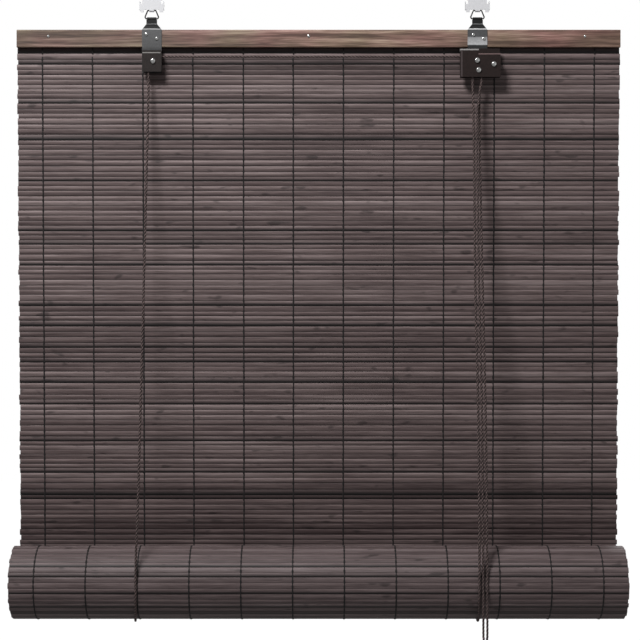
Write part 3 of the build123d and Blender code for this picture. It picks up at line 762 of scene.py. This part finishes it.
strands = []
for thread_x in thread_xs:
    path = []
    length = roll_thread_start
    while length < math.pi * (2 * roll_radius - turn_pitch / 2):
        face, outward = spiral_place(length)
        lift = roll_thread_lift if round(length / slat_pitch * 2) % 2 else -thread_sink
        path.append(Vector((thread_x, face[0] + outward[0] * lift, face[1] + outward[1] * lift)))
        length += slat_pitch / 2
    strands.append(thread_mesh(path))
roll_threads = join_pieces("roll_thread_turns", strands)
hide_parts("roll_threads")
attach(roll_threads, "roll")

# Lift cords: seen_radius is that of the front runs and the bights, a little fuller than the CAD's
cord_step = 0.0009
lift_spline_steps = 24
seen_radius = 0.0021
straight_start = 0.03
low_straight = 0.06
back_bend = 0.02
staple_half = 0.00075
thread_width = 0.0006
back_clearance = 0.0003
bight_corners = 8


def lift_cord(name, points, body, radius=cord_radius):
    """A fitted cord along its route, which stands for the CAD node of the same name."""
    line = resample(spline_points(points, lift_spline_steps), cord_step)
    piece = twisted_mesh(name, line, radius, cord_brown)
    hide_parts(name)
    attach(piece, body)
    return piece


def run_y(z, top_y, low_z):
    """Depth of a run at a height: the straight line from the pulley down to the roll's front."""
    start = cord_low_z - straight_start
    return top_y + (bight_front_y - top_y) * max(0.0, start - z) / (start - low_z)


def front_run(name, top_x, top_y, low_x, places):
    """A lift cord's front run; places holds the (x, z) that it passes on the way down, as in the photo."""
    low_z = roll_z + low_straight
    points = [(top_x, top_y, cord_low_z)]
    points += [(x, run_y(z, top_y, low_z), z) for x, z in places]
    points += [(low_x, bight_front_y, low_z), (low_x, bight_front_y, roll_z)]
    piece = lift_cord(name, points, "headrail", seen_radius)
    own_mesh(piece)


def back_run(name, x):
    """A lift cord's run behind the curtain, from its staple down to the roll's back."""
    top_z = staple_z + staple_half
    back_y = curtain_y + slat_thickness / 2 + thread_width + back_clearance + cord_radius
    points = [(x, back_y, top_z), (x, back_y, curtain_top + back_bend),
              (x, bight_back_y, roll_z + low_straight), (x, bight_back_y, roll_z)]
    piece = lift_cord(name, points, "headrail")
    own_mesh(piece)


def bight(name, front_x, back_x):
    """Half a turn under the roll, from its front to its back."""
    step = math.pi / bight_corners
    reach = bight_radius / math.cos(step / 2)
    points = [(front_x, bight_front_y, roll_z)]
    for k in range(bight_corners):
        angle = math.pi + step * (k + 0.5)
        share = (1 + math.cos(angle)) / 2
        points.append((front_x + (back_x - front_x) * share, roll_y + reach * math.cos(angle),
                       roll_z + reach * math.sin(angle)))
    points.append((back_x, bight_back_y, roll_z))
    lift_cord(name, points, "roll_carriage", seen_radius)


left_front_x = hanger_left - 0.0175
left_back_x = hanger_left - 0.032
right_front_x = hanger_right - 0.0045
right_back_x = hanger_right + 0.0005
left_places = [(left_fall_x, cord_low_z - straight_start), (left_front_x + 0.0028, roll_z + 0.105)]
right_places = [(0.2606, -0.151), (0.2616, -0.18), (0.2622, -0.3), (0.2618, -0.5), (0.2652, -0.66)]
front_run("left_cord_front", left_fall_x, rear_wheel_y, left_front_x, left_places)
back_run("left_cord_back", left_back_x)
bight("left_cord_bight", left_front_x, left_back_x)
front_run("right_cord_front", right_fall_x, front_wheel_y, right_front_x, right_places)
back_run("right_cord_back", right_back_x)
bight("right_cord_bight", right_front_x, right_back_x)

left_top_z = left_axle[1] + pulley_radius
cross_z = lock_axle[1] + pulley_radius
level_reach = 0.03
cross_points = [
    (left_fall_x, rear_wheel_y, cord_low_z), (left_fall_x, rear_wheel_y, left_axle[1] - pulley_radius),
    (left_fall_x, rear_wheel_y, left_top_z), (left_axle[0] + pulley_radius, rear_wheel_y, left_top_z),
    (left_axle[0] + level_reach, rear_wheel_y, left_top_z),
    (lock_axle[0] - level_reach, rear_wheel_y, cross_z),
    (lock_axle[0] - pulley_radius, rear_wheel_y, cross_z), (tail_top_x, rear_wheel_y, cross_z),
    (tail_top_x, rear_wheel_y, lock_axle[1] - pulley_radius), (tail_top_x, rear_wheel_y, cord_low_z),
]
lift_cord("cross_cord", cross_points, "headrail")
head_points = [
    (right_fall_x, front_wheel_y, cord_low_z), (right_fall_x, front_wheel_y, lock_axle[1] - pulley_radius),
    (right_fall_x, front_wheel_y, cross_z), (tail_top_x, front_wheel_y, cross_z),
    (tail_top_x, front_wheel_y, lock_axle[1] - pulley_radius), (tail_top_x, front_wheel_y, cord_low_z),
]
lift_cord("right_cord_head", head_points, "headrail")

# Pull cord: one loop, down the front of the roll, through the tied coil and back up
tail_xs = (hanger_right + 0.0016, hanger_right + 0.008)
coil_radius = 0.021
coil_section = 0.021
coil_drop = 1.002
tie_wall = 0.0015
coil_x = sum(tail_xs) / 2
coil_z = rail_top - coil_drop - tie_wall - coil_radius - coil_section / 2
tie_top_z = coil_z + coil_radius + coil_section / 2 + tie_wall

# The coil's section: a grid of turns, its rows counted outwards, in the order in which the cord fills them
cell = 0.0035
packing = 0.96
middle_cell = 2.5
columns = [[5, 4, 3, 2, 1, 0], [0, 1, 2, 3, 4], [4, 3, 2, 1, 0], [0, 1, 2, 3, 4], [5, 4, 3, 2, 1, 0],
           [0, 1, 2, 3, 4, 5]]
cells = [(row, column) for column, column_rows in enumerate(columns) for row in column_rows]
points_per_turn = 14
easing_points = 3
coil_start_angle = math.pi / 2 - 0.3

# The last turn stops this many points short, at the coil's upper left, where it goes up
last_turn_short = 2
coil_points = []
for turn in range((len(cells) - 1) * points_per_turn + 1 - last_turn_short):
    whole, part = divmod(turn, points_per_turn)
    row, column = cells[whole]
    next_row, next_column = cells[whole + 1]
    ease = max(0.0, (part - points_per_turn + easing_points) / easing_points)
    reach = coil_radius + (row + (next_row - row) * ease - middle_cell) * cell * packing
    depth = (column + (next_column - column) * ease - middle_cell) * cell * packing
    angle = coil_start_angle - 2 * math.pi * part / points_per_turn
    coil_points.append((coil_x + reach * math.cos(angle), bight_front_y + depth,
                        coil_z + reach * math.sin(angle)))

# Places (x, z) of the two strands on their way down, as the photo shows them
front_strand = [(0.2717, -0.158), (0.2712, -0.174), (0.2669, -0.19), (0.2673, -0.3), (0.2684, -0.5),
                (0.2714, -0.66)]
rear_strand = [(0.2722, -0.158), (0.272, -0.18), (0.2726, -0.3), (0.2748, -0.5), (0.2775, -0.66)]
strand_low_z = roll_z + 0.03
lock_exit_z = cord_low_z - 0.007
coil_top_z = coil_z + coil_radius + middle_cell * cell
first_y = bight_front_y - middle_cell * cell * packing
last_y = bight_front_y + middle_cell * cell * packing
tail_points = [
    (tail_top_x, front_wheel_y, cord_low_z), (tail_top_x, front_wheel_y, lock_exit_z),
    *[(x, run_y(z, front_wheel_y, strand_low_z), z) for x, z in front_strand],
    (tail_xs[0], bight_front_y, strand_low_z), (tail_xs[0], bight_front_y, tie_top_z + 0.023),
    (tail_xs[0], bight_front_y, tie_top_z + 0.012),
    (tail_xs[0] + 0.001, (first_y + bight_front_y) / 2, tie_top_z + 0.001),
    (coil_x - 0.0005, first_y, coil_top_z),
]
return_points = [
    (coil_x - 0.0035, last_y, coil_top_z + 0.0005),
    (tail_xs[1] - 0.001, (last_y + bight_front_y) / 2, tie_top_z + 0.001),
    (tail_xs[1], bight_front_y, tie_top_z + 0.012), (tail_xs[1], bight_front_y, tie_top_z + 0.023),
    (tail_xs[1], bight_front_y, strand_low_z),
    *[(x, run_y(z, rear_wheel_y, strand_low_z), z) for x, z in reversed(rear_strand)],
    (tail_top_x, rear_wheel_y, lock_exit_z), (tail_top_x, rear_wheel_y, cord_low_z),
]
pull_spline_steps = 12
pull_step = 0.0011
pull_radius = 0.002
pull_line = resample(spline_points(tail_points + coil_points + return_points, pull_spline_steps), pull_step)
pull_piece = twisted_mesh("pull_cord_loop", pull_line, pull_radius, cord_brown)
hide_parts("pull_cord_front", "pull_cord_rear", "pull_cord_coil")
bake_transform(pull_piece)

# Floor, world, lamps and camera
floor_z = -2.75
floor_half = 20
floor_mesh = bpy.data.meshes.new("floor")
floor_corners = [(x * floor_half, y * floor_half, floor_z) for x, y in ((-1, -1), (1, -1), (1, 1), (-1, 1))]
floor_mesh.from_pydata(floor_corners, [], [(0, 1, 2, 3)])
floor = bpy.data.objects.new("floor", floor_mesh)
bpy.context.scene.collection.objects.link(floor)
floor_paint, floor_nodes, floor_links, floor_shader = new_material("floor_paint")
floor_shader.inputs["Base Color"].default_value = (0.8, 0.8, 0.8, 1)
floor_shader.inputs["Roughness"].default_value = 0.9
floor_shader.inputs["Emission Color"].default_value = (1, 1, 1, 1)
floor_path = floor_nodes.new("ShaderNodeLightPath")
floor_links.new(math_node(floor_nodes, floor_links, "MULTIPLY", floor_path.outputs["Is Camera Ray"], 0.95),
                floor_shader.inputs["Emission Strength"])
floor_mesh.materials.append(floor_paint)

world = bpy.data.worlds.new("studio")
bpy.context.scene.world = world
world.use_nodes = True
world_nodes, world_links = world.node_tree.nodes, world.node_tree.links
light_path = world_nodes.new("ShaderNodeLightPath")
glossy = light_path.outputs["Is Glossy Ray"]
seen = math_node(world_nodes, world_links, "MAXIMUM", light_path.outputs["Is Camera Ray"], glossy)
seen = math_node(world_nodes, world_links, "MAXIMUM", seen, light_path.outputs["Is Transmission Ray"])

# White to the camera and through glass, dimmer in reflections, and faint as light on the object
ambient = 0.08
glossy_dimming = 0.7
strength = math_node(world_nodes, world_links, "MULTIPLY", seen, 1 - ambient)
strength = math_node(world_nodes, world_links, "ADD", strength, ambient)
strength = math_node(world_nodes, world_links, "SUBTRACT", strength,
                     math_node(world_nodes, world_links, "MULTIPLY", glossy, glossy_dimming))
world_links.new(strength, world_nodes["Background"].inputs["Strength"])
world_nodes["Background"].inputs["Color"].default_value = (1, 1, 1, 1)


def add_lamp(name, place, target, size, power):
    lamp = bpy.data.lights.new(name, "AREA")
    lamp.shape = "RECTANGLE"
    lamp.size, lamp.size_y = size
    lamp.energy = power
    holder = bpy.data.objects.new(name, lamp)
    holder.location = place
    holder.rotation_euler = (Vector(target) - Vector(place)).to_track_quat("-Z", "Y").to_euler()
    bpy.context.scene.collection.objects.link(holder)


add_lamp("key_lamp", (-1.0, -1.9, 1.7), (0.0, 0.0, -0.5), (0.9, 0.6), 92)
add_lamp("fill_lamp", (1.8, -2.4, -0.2), (0.0, 0.0, -0.55), (1.6, 1.6), 5)
add_lamp("back_lamp", (1.4, 2.6, 0.9), (0.0, 0.0, -0.55), (1.6, 1.2), 30)

camera_data = bpy.data.cameras.new("camera")
camera_data.sensor_width = 36.0
camera_data.lens = camera_data.sensor_width * camera_distance / (photo_pixels * metres_per_pixel)
camera = bpy.data.objects.new("camera", camera_data)
camera.location = (camera_x, rail_front_y - camera_distance, camera_z)
camera.rotation_euler = (math.pi / 2, 0, 0)
bpy.context.scene.collection.objects.link(camera)
bpy.context.scene.camera = camera
bpy.context.scene.view_settings.view_transform = "Standard"
